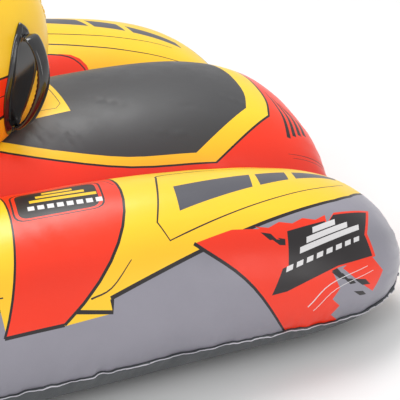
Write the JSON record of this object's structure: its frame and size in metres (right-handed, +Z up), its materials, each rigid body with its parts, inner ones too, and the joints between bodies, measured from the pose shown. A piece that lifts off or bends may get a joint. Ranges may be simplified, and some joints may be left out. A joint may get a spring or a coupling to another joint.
{
  "type": "towable tube",
  "caption": "Ride-on inflatable towable with two pontoons joined at the bow, a straddle seat, a raised fairing with handles, and a hinged tow eye.",
  "frame": {"origin": "middle of the footprint, on the ground under the bottom panel", "axes": "+X to port, bow towards -Y, stern towards +Y, +Z up"},
  "size_m": [1.2646, 1.868, 0.824],
  "materials": {
    "yellow_skin": "printed gloss PVC",
    "seat_skin": "satin textured PVC",
    "bottom_skin": "satin coated PVC",
    "seam_skin": "welded PVC edge",
    "handle_plastic": "gloss moulded",
    "valve_plastic": "moulded",
    "flap_silicone": "soft",
    "webbing": "woven nylon",
    "tow_steel": "stainless"
  },
  "bodies": {
    "hull": {"port_pontoon": "yellow_skin", "starboard_pontoon": "yellow_skin", "cowl": "yellow_skin", "seat_tube": "seat_skin", "cowl_seam_flange": "yellow_skin", "bottom_panel": "bottom_skin", "port_side_skin": "bottom_skin", "port_seam_flange": "seam_skin", "port_handle_patch": "handle_plastic", "port_handle_grip": "handle_plastic", "starboard_side_skin": "bottom_skin", "starboard_seam_flange": "seam_skin", "starboard_handle_patch": "handle_plastic", "starboard_handle_grip": "handle_plastic", "tow_patch": "bottom_skin", "tow_sleeve": "webbing", "port_valve_base": "valve_plastic", "port_valve_insert": "valve_plastic", "starboard_valve_base": "valve_plastic", "starboard_valve_insert": "valve_plastic", "seat_valve_base": "valve_plastic", "seat_valve_insert": "valve_plastic", "cowl_valve_base": "valve_plastic", "cowl_valve_insert": "valve_plastic"},
    "tow_eye": {"tow_eye": "tow_steel"},
    "port_valve_flap": {"port_valve_flap": "flap_silicone"},
    "starboard_valve_flap": {"starboard_valve_flap": "flap_silicone"},
    "seat_valve_flap": {"seat_valve_flap": "flap_silicone"},
    "cowl_valve_flap": {"cowl_valve_flap": "flap_silicone"},
    "port_valve_cap": {"port_valve_cap": "valve_plastic"},
    "starboard_valve_cap": {"starboard_valve_cap": "valve_plastic"},
    "seat_valve_cap": {"seat_valve_cap": "valve_plastic"},
    "cowl_valve_cap": {"cowl_valve_cap": "valve_plastic"}
  },
  "joints": [
    {"name": "tow_eye_swing", "type": "hinge", "parent": "hull", "child": "tow_eye", "pos_m": [0, -0.926, 0.2195], "axis": [-1, 0, 0], "range_deg": [0, 150]},
    {"name": "port_cap_hinge", "type": "hinge", "parent": "hull", "child": "port_valve_cap", "pos_m": [0.41525, -0.3, 0.4126], "axis": [0, -1, 0], "range_deg": [0, 150]},
    {"name": "starboard_cap_hinge", "type": "hinge", "parent": "hull", "child": "starboard_valve_cap", "pos_m": [-0.41525, -0.3, 0.4126], "axis": [0, 1, 0], "range_deg": [0, 150]},
    {"name": "seat_cap_hinge", "type": "hinge", "parent": "hull", "child": "seat_valve_cap", "pos_m": [0, -0.399, 0.4204], "axis": [1, 0, 0], "range_deg": [0, 150]},
    {"name": "cowl_cap_hinge", "type": "hinge", "parent": "hull", "child": "cowl_valve_cap", "pos_m": [-0.2111, 0, 0.551], "axis": [0, 1, 0], "range_deg": [0, 150]},
    {"name": "port_flap_travel", "type": "slide", "parent": "hull", "child": "port_valve_flap", "axis": [0, 0, -1], "range_m": [0, 0.005], "stiffness_N_per_m": 150},
    {"name": "starboard_flap_travel", "type": "slide", "parent": "hull", "child": "starboard_valve_flap", "axis": [0, 0, -1], "range_m": [0, 0.005], "stiffness_N_per_m": 150},
    {"name": "seat_flap_travel", "type": "slide", "parent": "hull", "child": "seat_valve_flap", "axis": [0, 0, -1], "range_m": [0, 0.005], "stiffness_N_per_m": 150},
    {"name": "cowl_flap_travel", "type": "slide", "parent": "hull", "child": "cowl_valve_flap", "axis": [1, 0, 0], "range_m": [0, 0.005], "stiffness_N_per_m": 150}
  ]
}
